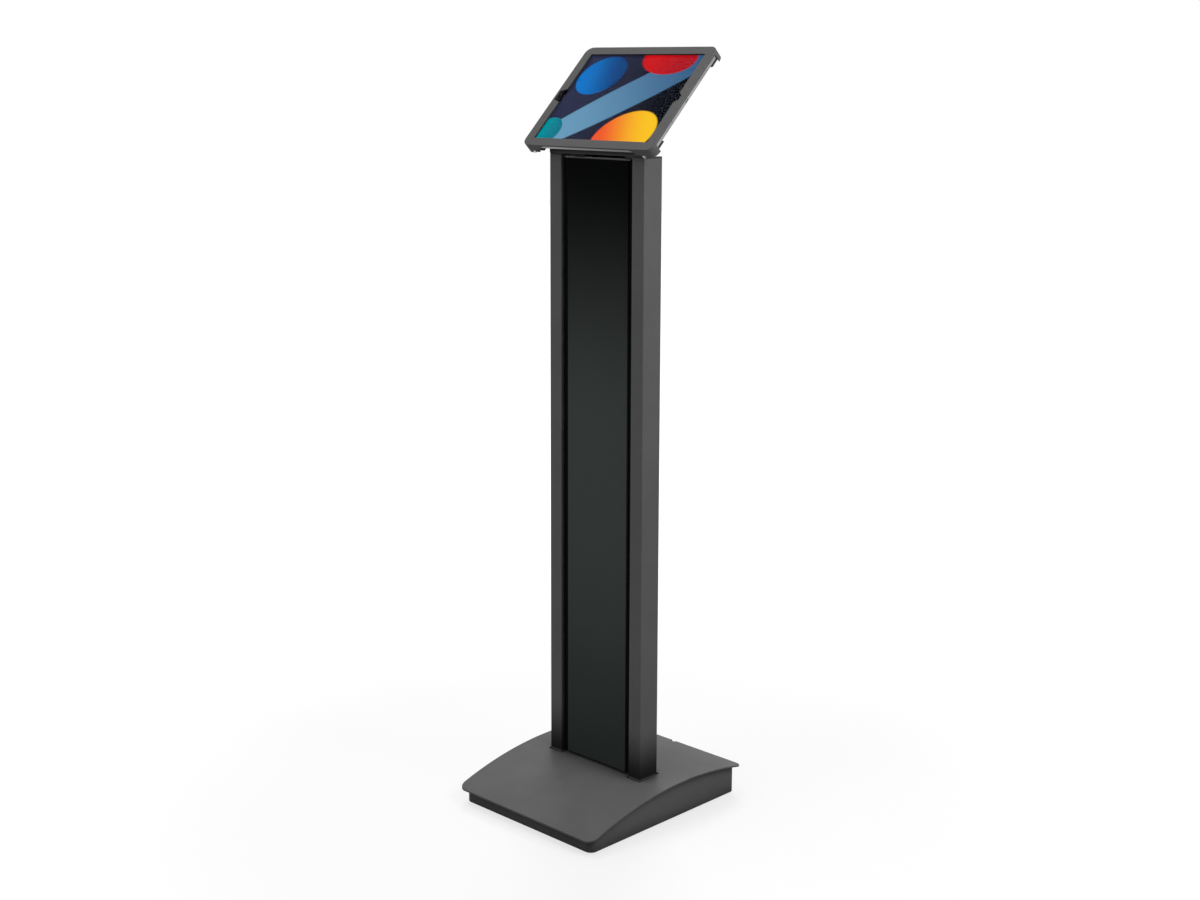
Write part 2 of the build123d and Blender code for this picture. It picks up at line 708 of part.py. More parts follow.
def make_back_bracket():
    inner_u = frame_width / 2 - claw_thickness
    inner_v = frame_height / 2 - claw_thickness
    inside = RectangleRounded(2 * inner_u, 2 * inner_v, frame_corner_radius - claw_thickness)
    corner_u = inner_u - corner_plate_u / 2
    corner_v = inner_v - corner_plate_v / 2
    arm_angle = degrees(asin(corner_v / sqrt(corner_u ** 2 + corner_v ** 2)))
    arm_length = sqrt(corner_u ** 2 + corner_v ** 2)
    sheet = Circle(bracket_center_radius)
    for u, v in four_corners(corner_u, corner_v):
        sheet += Pos(u, v) * Rectangle(corner_plate_u, corner_plate_v)
    for angle in (arm_angle, -arm_angle):
        sheet += Rot(0, 0, angle) * Rectangle(2 * arm_length, arm_width)
    sheet = sheet & inside
    sheet -= Circle(spindle_bore_radius)
    bracket = layer(sheet, sheet_front, sheet_back)
    flange_height = enclosure_depth - sheet_back
    flange_start = bracket_center_radius
    flange_length = arm_length - flange_start
    flange_z = -(sheet_back + enclosure_depth) / 2
    for angle in (arm_angle, -arm_angle, 180 + arm_angle, 180 - arm_angle):
        for edge in (-1, 1):
            offset = edge * (arm_width - arm_flange) / 2
            strip = Box(flange_length, arm_flange, flange_height)
            bracket += Rot(0, 0, angle) * Pos(flange_start + flange_length / 2, offset, flange_z) * strip
    screw_depth = (sheet_front + enclosure_depth) / 2
    for u, side in frame_screw_spots():
        tab_v = (side * (inner_v - bracket_sheet), side * inner_v)
        bracket += span_box((u - corner_tab_length / 2, u + corner_tab_length / 2), tab_v,
                            (-enclosure_depth, -sheet_front))
        near = side * (frame_height / 2 - frame_screw_reach - screw_tip_gap)
        far = side * (inner_v + overrun)
        bracket -= rod_along_y(frame_screw_radius, near, far, u, -screw_depth)
    for angle in (0, 90, 180, 270):
        x, y = on_circle(hub_screw_circle, angle)
        bracket -= rod(hub_screw_radius, -sheet_back, -sheet_front, x, y)
        bracket -= rod(hub_screw_head_radius, -sheet_front - hub_screw_head_height, -sheet_front, x, y)
    return bracket


def make_pads():
    pads = []
    angle = degrees(asin(tablet_height / sqrt(tablet_width ** 2 + tablet_height ** 2)))
    reach = sqrt(tablet_width ** 2 + tablet_height ** 2) * pad_reach_share
    for turn in (angle, -angle, 180 + angle, 180 - angle):
        pad = Rot(0, 0, turn) * Pos(reach, 0, 0) * RectangleRounded(pad_length, pad_width, 3)
        pads.append(layer(pad, tablet_back, sheet_front))
    return group(pads)


def make_enclosure():
    keep_head("front_frame", make_front_frame())
    keep_head("frame_screws", make_frame_screws())
    keep_head("back_bracket", make_back_bracket())
    keep_head("bracket_pads", make_pads())
    outer = RectangleRounded(tablet_width, tablet_height, tablet_corner_radius)
    inner = RectangleRounded(tablet_width - 2 * gasket_width, tablet_height - 2 * gasket_width,
                             tablet_corner_radius - gasket_width)
    camera = Pos(camera_edge_inset - tablet_width / 2, 0) * Circle(camera_radius + camera_gap)
    keep_head("frame_gasket", layer(outer - inner - camera, frame_thickness, tablet_front))


# ---- Tablet -----------------------------------------------------------------------------
def stadium(length, width):
    return RectangleRounded(length, width, width / 2 - 0.01)


def button_pieces(clearance):
    """Button stem section and its flange section, in the plane of the tablet's edge."""
    stem = stadium(button_length + 2 * clearance, button_width + 2 * clearance)
    flange = stadium(button_length + 2 * button_flange, button_width + 2 * button_flange)
    return stem, flange


def edge_places():
    """Planes on the tablet's edge, looking outward, at each button."""
    top = tablet_height / 2
    left = -tablet_width / 2
    return {
        "volume_up_button": Plane((left + volume_up_inset, top, -button_depth), (1, 0, 0), (0, 1, 0)),
        "volume_down_button": Plane((left + volume_down_inset, top, -button_depth), (1, 0, 0), (0, 1, 0)),
        "power_button": Plane((left, top - power_inset, -button_depth), (0, 1, 0), (-1, 0, 0)),
    }


def make_shell():
    outer = RectangleRounded(tablet_width, tablet_height, tablet_corner_radius)
    inner = RectangleRounded(shell_inner_width, shell_inner_height, tablet_corner_radius - shell_wall)
    shell = layer(outer, shell_front, tablet_back)
    shell = fillet(shell.faces().sort_by(Axis.Z)[0].edges(), shell_edge_round)
    shell -= layer(inner, shell_front, tablet_back - shell_floor)
    stem, flange = button_pieces(button_clearance)
    for place in edge_places().values():
        shell -= place * Pos(0, 0, -shell_wall - overrun) * extrude(stem, amount=shell_wall + 2 * overrun)
    edge = tablet_width / 2
    port = Plane((edge, 0, -button_depth), (0, 1, 0), (1, 0, 0))
    port_cut = extrude(stadium(port_width, port_height), amount=shell_wall + 2 * overrun)
    shell -= port * Pos(0, 0, -shell_wall - overrun) * port_cut
    for side in (-1, 1):
        for end in (-1, 1):
            for number in range(speaker_holes):
                offset = (number - (speaker_holes - 1) / 2) * speaker_hole_pitch
                near = side * (edge - shell_wall - overrun)
                far = side * (edge + overrun)
                v = end * (tablet_height / 2 - speaker_end_inset) + offset
                shell -= rod_along_x(speaker_hole_radius, near, far, v, -button_depth)
    return shell


def make_button(place):
    stem, flange = button_pieces(0)
    back = -shell_wall - button_flange_gap
    body = Pos(0, 0, back) * extrude(stem, amount=button_proud - back)
    body += Pos(0, 0, back - button_flange_thickness) * extrude(flange, amount=button_flange_thickness)
    return place * body


def make_tablet():
    keep_head("tablet_shell", make_shell())
    outline = RectangleRounded(tablet_width, tablet_height, tablet_corner_radius)
    keep_head("display_glass", layer(outline, tablet_front, shell_front))
    module = RectangleRounded(tablet_width - 2 * module_margin, tablet_height - 2 * module_margin,
                              tablet_corner_radius - module_margin)
    camera_u = camera_edge_inset - tablet_width / 2
    module -= Pos(camera_u, 0) * Circle(camera_radius + camera_gap)
    keep_head("display_module", layer(module, shell_front, shell_front + module_thickness))
    keep_head("front_camera", rod(camera_radius, -shell_front - camera_depth, -shell_front, camera_u, 0))
    floor = tablet_back - shell_floor
    cell_start = board_width / 2 + cell_board_gap
    cell_end = shell_inner_width / 2 - cell_side_gap
    cell = Rectangle(cell_end - cell_start, shell_inner_height - 2 * cell_end_gap)
    cell_u = (cell_start + cell_end) / 2
    cells = [layer(Pos(side * cell_u, 0) * cell, floor - cell_thickness, floor) for side in (-1, 1)]
    keep_head("battery_cells", group(cells))
    board = Rectangle(board_width, shell_inner_height - 2 * board_end_gap)
    keep_head("main_board", layer(board, floor - board_thickness, floor))
    port = Plane((tablet_width / 2, 0, -button_depth), (0, 1, 0), (1, 0, 0))
    body = Pos(0, 0, -port_depth) * extrude(stadium(port_width, port_height), amount=port_depth - port_gap)
    mouth = stadium(port_width - 2 * port_wall, port_height - 2 * port_wall)
    body -= Pos(0, 0, -port_depth + port_floor) * extrude(mouth, amount=port_depth)
    keep_head("charge_port", port * body)
    for name, place in edge_places().items():
        keep_head(name, make_button(place))


make_base()
make_column()
keep("head_bracket", make_head_bracket())
keep("bracket_screws", make_bracket_screws())
make_swivel()
make_enclosure()
make_tablet()

os.makedirs("parts", exist_ok=True)
for name, shape in parts.items():
    export_step(shape, f"parts/{name}.step")
box = Compound(children=list(parts.values())).bounding_box()
print(len(parts), "nodes; box", box.min, box.max)
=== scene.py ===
import json
from math import radians

import bpy
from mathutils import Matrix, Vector


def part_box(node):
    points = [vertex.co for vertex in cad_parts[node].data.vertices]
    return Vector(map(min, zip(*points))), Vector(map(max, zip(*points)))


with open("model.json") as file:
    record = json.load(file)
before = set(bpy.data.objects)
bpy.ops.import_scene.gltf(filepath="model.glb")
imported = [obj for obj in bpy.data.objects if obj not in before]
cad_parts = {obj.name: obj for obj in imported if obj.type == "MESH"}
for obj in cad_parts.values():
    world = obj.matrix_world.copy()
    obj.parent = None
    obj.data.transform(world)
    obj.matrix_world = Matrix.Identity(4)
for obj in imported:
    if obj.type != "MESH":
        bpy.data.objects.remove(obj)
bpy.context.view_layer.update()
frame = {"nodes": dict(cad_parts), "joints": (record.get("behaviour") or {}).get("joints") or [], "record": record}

scene = bpy.context.scene


# Node helpers for the groups and materials below

def addNode(tree, kind, **settings):
    node = tree.nodes.new(kind)
    for name, value in settings.items():
        setattr(node, name, value)
    return node


def setInputs(node, **values):
    for name, value in values.items():
        node.inputs[name.replace("_", " ")].default_value = value
    return node


def wire(tree, *pairs):
    for source, target in pairs:
        tree.links.new(source, target)


def mathNode(tree, operation, first, second=None, clamp=False):
    node = addNode(tree, "ShaderNodeMath", operation=operation, use_clamp=clamp)
    for socket, value in zip(node.inputs, (first, second)):
        if isinstance(value, (int, float)):
            socket.default_value = value
        elif value is not None:
            wire(tree, (value, socket))
    return node.outputs[0]


def rampValue(tree, value, low, high, newLow=0.0, newHigh=1.0, smooth=True):
    node = addNode(tree, "ShaderNodeMapRange", clamp=True)
    node.interpolation_type = "SMOOTHSTEP" if smooth else "LINEAR"
    setInputs(node, From_Min=low, From_Max=high, To_Min=newLow, To_Max=newHigh)
    wire(tree, (value, node.inputs["Value"]))
    return node.outputs["Result"]


def mixColors(tree, factor, first, second):
    node = addNode(tree, "ShaderNodeMix", data_type="RGBA")
    sockets = (node.inputs[0], node.inputs[6], node.inputs[7])
    for socket, value in zip(sockets, (factor, first, second)):
        if hasattr(value, "is_linked"):
            wire(tree, (value, socket))
        else:
            socket.default_value = value if isinstance(value, (int, float)) else (*value, 1.0)
    return node.outputs[2]


def newGroup(name, inputs, outputs):
    group = bpy.data.node_groups.new(name, "ShaderNodeTree")
    for label, value in inputs.items():
        socket = group.interface.new_socket(label, in_out="INPUT", socket_type="NodeSocketFloat")
        socket.default_value = value
    for label in outputs:
        group.interface.new_socket(label, in_out="OUTPUT", socket_type="NodeSocketFloat")
    return group, addNode(group, "NodeGroupInput"), addNode(group, "NodeGroupOutput")


def useGroup(tree, group, **values):
    node = addNode(tree, "ShaderNodeGroup", node_tree=group)
    return setInputs(node, **values)


def sendMask(group, given, result, mask):
    scaled = mathNode(group, "MULTIPLY", mask, given.outputs["Amount"], True)
    wire(group, (scaled, result.inputs["Mask"]))


def noiseAt(tree, scale, detail=2.0, roughness=0.5, vector=None):
    node = addNode(tree, "ShaderNodeTexNoise")
    setInputs(node, Detail=detail, Roughness=roughness)
    if hasattr(scale, "is_linked"):
        wire(tree, (scale, node.inputs["Scale"]))
    else:
        node.inputs["Scale"].default_value = scale
    if vector is None:
        vector = addNode(tree, "ShaderNodeTexCoord").outputs["Object"]
    wire(tree, (vector, node.inputs["Vector"]))
    return node.outputs["Fac"]


# Shared effects; scales are in features per metre, reaches in metres

grainLook = dict(peel=0.55, fineRatio=3.3, toneScale=9.0)


def makeGrainGroup(look):
    # coarse orange peel with a finer grain on it
    inputs = {"Scale": 700.0, "Fine Share": 0.4}
    group, given, result = newGroup("surfaceGrain", inputs, ("Height", "Tone"))
    coarse = noiseAt(group, given.outputs["Scale"], 2.0, look["peel"])
    fineScale = mathNode(group, "MULTIPLY", given.outputs["Scale"], look["fineRatio"])
    fine = noiseAt(group, fineScale, 1.0)
    share = mathNode(group, "MULTIPLY", fine, given.outputs["Fine Share"])
    tone = noiseAt(group, look["toneScale"], 4.0, 0.6)
    height = mathNode(group, "ADD", coarse, share)
    wire(group, (height, result.inputs["Height"]), (tone, result.inputs["Tone"]))
    return group


edgeWearAndHighlightLook = dict(samples=6, bend=(0.015, 0.16), patchScale=140.0, patches=(0.34, 0.66, 0.25, 1.0))


def makeEdgeGroup(look):
    # worn edges, lightened also as a painted highlight: where a rounded normal leaves the real one, broken up by
    # noise
    group, given, result = newGroup("edgeWearAndHighlight", {"Radius": 0.0012, "Amount": 1.0}, ("Mask",))
    bevel = addNode(group, "ShaderNodeBevel", samples=look["samples"])
    wire(group, (given.outputs["Radius"], bevel.inputs["Radius"]))
    flat = addNode(group, "ShaderNodeNewGeometry")
    dot = addNode(group, "ShaderNodeVectorMath", operation="DOT_PRODUCT")
    wire(group, (bevel.outputs[0], dot.inputs[0]), (flat.outputs["Normal"], dot.inputs[1]))
    edge = rampValue(group, mathNode(group, "SUBTRACT", 1.0, dot.outputs["Value"]), *look["bend"])
    broken = rampValue(group, noiseAt(group, look["patchScale"], 4.0, 0.65), *look["patches"])
    wearAndHighlight = mathNode(group, "MULTIPLY", edge, broken)
    sendMask(group, given, result, wearAndHighlight)
    return group


dustLook = dict(facing=(0.55, 1.0), patchScale=22.0, patches=(0.35, 0.75, 0.2, 1.0))


def makeDustGroup(look):
    # settled dust on faces that look up
    group, given, result = newGroup("settledDust", {"Amount": 0.2}, ("Mask",))
    normal = addNode(group, "ShaderNodeSeparateXYZ")
    wire(group, (addNode(group, "ShaderNodeNewGeometry").outputs["Normal"], normal.inputs[0]))
    facing = rampValue(group, normal.outputs["Z"], *look["facing"])
    patches = rampValue(group, noiseAt(group, look["patchScale"], 6.0, 0.7), *look["patches"])
    dusty = mathNode(group, "MULTIPLY", facing, patches)
    sendMask(group, given, result, dusty)
    return group


creviceLook = dict(samples=8, closed=(0.12, 0.62), cloudScale=35.0, clouds=(0.3, 0.7, 0.8, 1.0))


def makeCreviceGroup(look):
    # painted shade where faces meet: darker where ambient occlusion finds nearby faces, broken up by noise
    group, given, result = newGroup("paintedCreviceShade", {"Reach": 0.05, "Amount": 0.8}, ("Mask",))
    cover = addNode(group, "ShaderNodeAmbientOcclusion", samples=look["samples"])
    wire(group, (given.outputs["Reach"], cover.inputs["Distance"]))
    closed = rampValue(group, mathNode(group, "SUBTRACT", 1.0, cover.outputs["AO"]), *look["closed"])
    cloudy = rampValue(group, noiseAt(group, look["cloudScale"], 3.0, 0.6), *look["clouds"])
    creviceShade = mathNode(group, "MULTIPLY", closed, cloudy)
    sendMask(group, given, result, creviceShade)
    return group


smudgeLook = dict(turn=(0.0, 0.5, 0.3), stretch=(1.0, 1.0, 0.25), streakScale=60.0, smearScale=14.0,
                  smears=(0.42, 0.7))


def makeSmudgeGroup(look):
    # faint wipe marks and finger smears for glossy faces
    group, given, result = newGroup("wipeMarks", {"Amount": 0.1}, ("Mask",))
    stretch = addNode(group, "ShaderNodeMapping")
    setInputs(stretch, Rotation=look["turn"], Scale=look["stretch"])
    wire(group, (addNode(group, "ShaderNodeTexCoord").outputs["Object"], stretch.inputs["Vector"]))
    streaks = noiseAt(group, look["streakScale"], 5.0, 0.6, stretch.outputs["Vector"])
    smears = rampValue(group, noiseAt(group, look["smearScale"], 3.0), *look["smears"])
    both = mathNode(group, "MULTIPLY", streaks, smears)
    sendMask(group, given, result, both)
    return group


grainGroup = makeGrainGroup(grainLook)
edgeGroup = makeEdgeGroup(edgeWearAndHighlightLook)
dustGroup = makeDustGroup(dustLook)
creviceGroup = makeCreviceGroup(creviceLook)
smudgeGroup = makeSmudgeGroup(smudgeLook)
print("shared effects ready")


# Materials

def startMaterial(name, **plain):
    material = bpy.data.materials.new(name)
    material.use_nodes = True
    tree = material.node_tree
    shader = next(node for node in tree.nodes if node.type == "BSDF_PRINCIPLED")
    for label, value in plain.items():
        shader.inputs[label.replace("_", " ")].default_value = value
    return material, tree, shader


def plainBump(tree, shader, height, strength, distance):
    bump = setInputs(addNode(tree, "ShaderNodeBump"), Strength=strength, Distance=distance)
    wire(tree, (height, bump.inputs["Height"]), (bump.outputs["Normal"], shader.inputs["Normal"]))
    return bump


def roundedBump(tree, shader, height, strength, distance, radius):
    # surface relief over edges softened by a small radius
    bevel = setInputs(addNode(tree, "ShaderNodeBevel", samples=edgeWearAndHighlightLook["samples"]), Radius=radius)
    bump = plainBump(tree, shader, height, strength, distance)
    wire(tree, (bevel.outputs[0], bump.inputs["Normal"]))


def coatedMaterial(name, look):
    # painted, moulded or sheet surfaces: two tones, grain relief, worn edges lightened also as a painted
    # highlight, settled dust, and where asked painted shade in crevices and at the foot
    look = {**coatCommon, **look}
    material, tree, shader = startMaterial(name, Metallic=look["metallic"],
                                           Specular_IOR_Level=look["specular"])
    grain = useGroup(tree, grainGroup, Scale=look["grainScale"], Fine_Share=look["fineShare"])
    edges = useGroup(tree, edgeGroup, Radius=look["edgeRadius"], Amount=look["edgeWearAndHighlight"])
    dust = useGroup(tree, dustGroup, Amount=look["dust"])
    tone = rampValue(tree, grain.outputs["Tone"], 0.3, 0.7)
    color = mixColors(tree, tone, look["color"], look["secondColor"])
    speck = rampValue(tree, grain.outputs["Height"], 0.35, 1.05, 0.0, look["speck"], False)
    color = mixColors(tree, speck, color, look["speckColor"])
    color = mixColors(tree, edges.outputs["Mask"], color, look["edgeColor"])
    color = mixColors(tree, dust.outputs["Mask"], color, look["dustColor"])
    # painted shade in crevices: the ambient occlusion mask darkens the colour
    if "creviceShade" in look:
        creviceShade = useGroup(tree, creviceGroup, Reach=look["creviceShadeReach"], Amount=look["creviceShade"])
        color = mixColors(tree, creviceShade.outputs["Mask"], color, look["paintedShadeColor"])
    if "footShade" in look:
        # painted shade on the lowest part of the posts, just above the cover, darker towards the foot
        low, high, amount = look["footShade"]
        height = addNode(tree, "ShaderNodeSeparateXYZ")
        wire(tree, (addNode(tree, "ShaderNodeTexCoord").outputs["Object"], height.inputs[0]))
        above = mathNode(tree, "GREATER_THAN", height.outputs["Z"], low)
        near = rampValue(tree, height.outputs["Z"], high, low, 0.0, amount)
        color = mixColors(tree, mathNode(tree, "MULTIPLY", above, near), color, look["paintedShadeColor"])
    rough = rampValue(tree, grain.outputs["Tone"], 0.25, 0.75, *look["rough"])
    polish = mathNode(tree, "MULTIPLY", edges.outputs["Mask"], look["edgePolish"])
    rough = mathNode(tree, "ADD", rough, polish, True)
    wire(tree, (color, shader.inputs["Base Color"]), (rough, shader.inputs["Roughness"]))
    roundedBump(tree, shader, grain.outputs["Height"], look["relief"], look["depth"], look["bevel"])
    return material


coatCommon = dict(metallic=0.0, specular=0.5, fineShare=0.4, speck=0.25, edgeRadius=0.0010,
                  edgePolish=-0.12, dust=0.0, dustColor=(0.42, 0.41, 0.39), depth=0.0004, bevel=0.0005)

coatLooks = {
    # footShade, painted shade on the posts: from just above the cover, up to this height, how dark
    # powder_coat's light edgeColor and strong edge amount are partly wear, partly a painted highlight along the
    # post edges
    "powder_coat": dict(color=(0.106, 0.106, 0.106), secondColor=(0.120, 0.120, 0.120),
                        speckColor=(0.158, 0.158, 0.158), edgeColor=(0.27, 0.27, 0.27),
                        rough=(0.44, 0.56), grainScale=900.0, relief=0.22, edgeWearAndHighlight=0.75, dust=0.05,
                        specular=0.05, creviceShade=0.85, creviceShadeReach=0.045, paintedShadeColor=(0.014, 0.014, 0.014),
                        footShade=(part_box("base_cover")[1][2] + 0.0004, 0.16, 1.0)),
    "black_coat": dict(color=(0.004, 0.004, 0.004), secondColor=(0.006, 0.006, 0.006),
                       speckColor=(0.012, 0.012, 0.012), edgeColor=(0.03, 0.03, 0.03),
                       rough=(0.5, 0.62), grainScale=900.0, relief=0.2, edgeWearAndHighlight=0.3, specular=0.01),
    "black_plastic": dict(color=(0.020, 0.020, 0.020), secondColor=(0.027, 0.027, 0.027),
                          speckColor=(0.05, 0.05, 0.05), edgeColor=(0.06, 0.06, 0.06),
                          rough=(0.42, 0.55), grainScale=1600.0, relief=0.3, edgeWearAndHighlight=0.3,
                          dust=0.1, specular=0.2),
    "black_rubber": dict(color=(0.014, 0.014, 0.014), secondColor=(0.022, 0.022, 0.021),
                         speckColor=(0.04, 0.04, 0.04), edgeColor=(0.05, 0.05, 0.05),
                         rough=(0.72, 0.88), grainScale=1300.0, relief=0.5, edgeWearAndHighlight=0.5, specular=0.2),
    "black_foam": dict(color=(0.012, 0.012, 0.013), secondColor=(0.020, 0.020, 0.021),
                       speckColor=(0.05, 0.05, 0.05), edgeColor=(0.03, 0.03, 0.03),
                       rough=(0.9, 1.0), grainScale=2200.0, relief=0.9, edgeWearAndHighlight=0.2, speck=0.6,
                       specular=0.1),
    "mild_steel": dict(color=(0.040, 0.038, 0.037), secondColor=(0.065, 0.058, 0.052),
                       speckColor=(0.10, 0.08, 0.07), edgeColor=(0.22, 0.20, 0.19),
                       rough=(0.5, 0.7), grainScale=400.0, relief=0.35, edgeWearAndHighlight=0.9, metallic=0.4),
    "washer_plastic": dict(color=(0.74, 0.73, 0.69), secondColor=(0.80, 0.79, 0.75),
                           speckColor=(0.85, 0.85, 0.8), edgeColor=(0.6, 0.59, 0.56),
                           rough=(0.35, 0.45), grainScale=1200.0, relief=0.1, edgeWearAndHighlight=0.3),
    "cell_wrap": dict(color=(0.030, 0.031, 0.034), secondColor=(0.040, 0.041, 0.045),
                      speckColor=(0.06, 0.06, 0.07), edgeColor=(0.08, 0.08, 0.09),
                      rough=(0.25, 0.4), grainScale=300.0, relief=0.25, edgeWearAndHighlight=0.3, specular=0.3),
    "silver_aluminium": dict(color=(0.23, 0.235, 0.245), secondColor=(0.27, 0.275, 0.285),
                             speckColor=(0.32, 0.32, 0.33), edgeColor=(0.42, 0.42, 0.43),
                             rough=(0.40, 0.50), grainScale=3500.0, relief=0.12, edgeWearAndHighlight=0.4,
                             metallic=1.0, bevel=0.0003),
}


def brushedMaterial(name, look):
    # bare metal with fine lines and a few stains
    material, tree, shader = startMaterial(name, Metallic=1.0)
    stretch = addNode(tree, "ShaderNodeMapping")
    setInputs(stretch, Scale=look["lines"])
    wire(tree, (addNode(tree, "ShaderNodeTexCoord").outputs["Object"], stretch.inputs["Vector"]))
    lines = noiseAt(tree, look["lineScale"], 3.0, 0.7, stretch.outputs["Vector"])
    stain = rampValue(tree, noiseAt(tree, brushedCommon["stainScale"], 4.0, 0.6), 0.35, 0.7)
    edges = useGroup(tree, edgeGroup, Radius=brushedCommon["edgeRadius"],
                     Amount=brushedCommon["edgeWearAndHighlight"])
    color = mixColors(tree, stain, look["color"], look["secondColor"])
    color = mixColors(tree, edges.outputs["Mask"], color, look["edgeColor"])
    rough = rampValue(tree, lines, 0.3, 0.7, *look["rough"])
    wire(tree, (color, shader.inputs["Base Color"]), (rough, shader.inputs["Roughness"]))
    roundedBump(tree, shader, lines, look["relief"], brushedCommon["depth"], brushedCommon["bevel"])
    return material


brushedCommon = dict(stainScale=30.0, edgeRadius=0.0006, edgeWearAndHighlight=0.6, depth=0.0001, bevel=0.0003)

brushedLooks = {
    "zinc_steel": dict(color=(0.42, 0.43, 0.45), secondColor=(0.50, 0.49, 0.46),
                       edgeColor=(0.60, 0.60, 0.60), rough=(0.34, 0.50), lines=(1.0, 1.0, 1.0),
                       lineScale=1200.0, relief=0.15),
    "machined_aluminium": dict(color=(0.46, 0.47, 0.48), secondColor=(0.53, 0.53, 0.54),
                               edgeColor=(0.66, 0.66, 0.67), rough=(0.32, 0.46), lines=(0.05, 1.0, 1.0),
                               lineScale=900.0, relief=0.2),
}

# the three colours down the panel are painted light: a painted shadow at the top, a painted reflection in the
# middle, painted shade near the foot
panelLook = dict(top=(0.0006, 0.0008, 0.0008), middle=(0.066, 0.075, 0.073), paintedShadeFoot=(0.036, 0.043, 0.041),
                 rough=0.34, wipe=0.25, edge=(0.08, 0.085, 0.085), edgeRadius=0.0008, edgeWearAndHighlight=0.5,
                 specular=0.015, driftScale=5.0, drift=0.06, toMiddle=0.45, fromMiddle=0.6,
                 waveScale=12.0, wave=0.05)


def panelMaterial(name, look):
    # satin black sheet with painted light: a painted shadow keeps it near black at the top, a painted reflection
    # makes it a little greener and lighter lower down, and painted shade darkens it again near the foot
    material, tree, shader = startMaterial(name, Specular_IOR_Level=look["specular"])
    place = addNode(tree, "ShaderNodeSeparateXYZ")
    wire(tree, (addNode(tree, "ShaderNodeTexCoord").outputs["Object"], place.inputs[0]))
    low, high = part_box("front_panel")
    fall = rampValue(tree, place.outputs["Z"], high[2], low[2], smooth=False)
    drift = mathNode(tree, "MULTIPLY", noiseAt(tree, look["driftScale"], 3.0), look["drift"])
    fall = mathNode(tree, "SUBTRACT", mathNode(tree, "ADD", fall, drift), look["drift"] / 2, True)
    edges = useGroup(tree, edgeGroup, Radius=look["edgeRadius"], Amount=look["edgeWearAndHighlight"])
    smudge = useGroup(tree, smudgeGroup, Amount=look["wipe"])
    color = mixColors(tree, rampValue(tree, fall, 0.0, look["toMiddle"]), look["top"], look["middle"])
    color = mixColors(tree, rampValue(tree, fall, look["fromMiddle"], 1.0), color, look["paintedShadeFoot"])
    color = mixColors(tree, edges.outputs["Mask"], color, look["edge"])
    rough = mathNode(tree, "ADD", smudge.outputs["Mask"], look["rough"], True)
    wire(tree, (color, shader.inputs["Base Color"]), (rough, shader.inputs["Roughness"]))
    roundedBump(tree, shader, noiseAt(tree, look["waveScale"]), look["wave"], 0.001, 0.0004)
    return material


# The lit picture: a slanted band and four discs on deep blue, in the screen's own plane.
# Each shape: centre, reach along and across, turn in degrees, colour at each end, soft edge.
screenLook = dict(
    night=(0.020, 0.024, 0.060), shade=(0.000, 0.001, 0.003), unlit=(0.002, 0.002, 0.003),
    rough=0.4, strength=1.0, depth=1000.0, halfWidth=0.1255, halfHeight=0.0955,
    cellScale=5000.0, relief=0.02,
    shapes=[
        ((-0.074, 0.050), (0.050, 0.043), 20.0, (0.000, 0.170, 0.560), (0.002, 0.050, 0.200), 0.06),
        ((0.020, 0.010), (0.230, 0.034), 38.0, (0.150, 0.340, 0.500), (0.020, 0.080, 0.200), 0.10),
        ((0.052, 0.088), (0.060, 0.036), -6.0, (0.620, 0.004, 0.006), (0.420, 0.004, 0.010), 0.08),
        ((-0.112, -0.074), (0.030, 0.030), 0.0, (0.000, 0.300, 0.340), (0.000, 0.180, 0.240), 0.06),
        ((0.058, -0.078), (0.064, 0.052), 25.0, (0.900, 0.090, 0.020), (1.000, 0.560, 0.010), 0.06),
    ],
)


def headPlane():
    # centre and tilt of the enclosure, from the joint that turns it
    joint = next(entry for entry in frame["joints"] if entry["name"] == "head_rotation")
    return Vector(joint["pos_m"]), Vector(joint["axis"]).normalized()


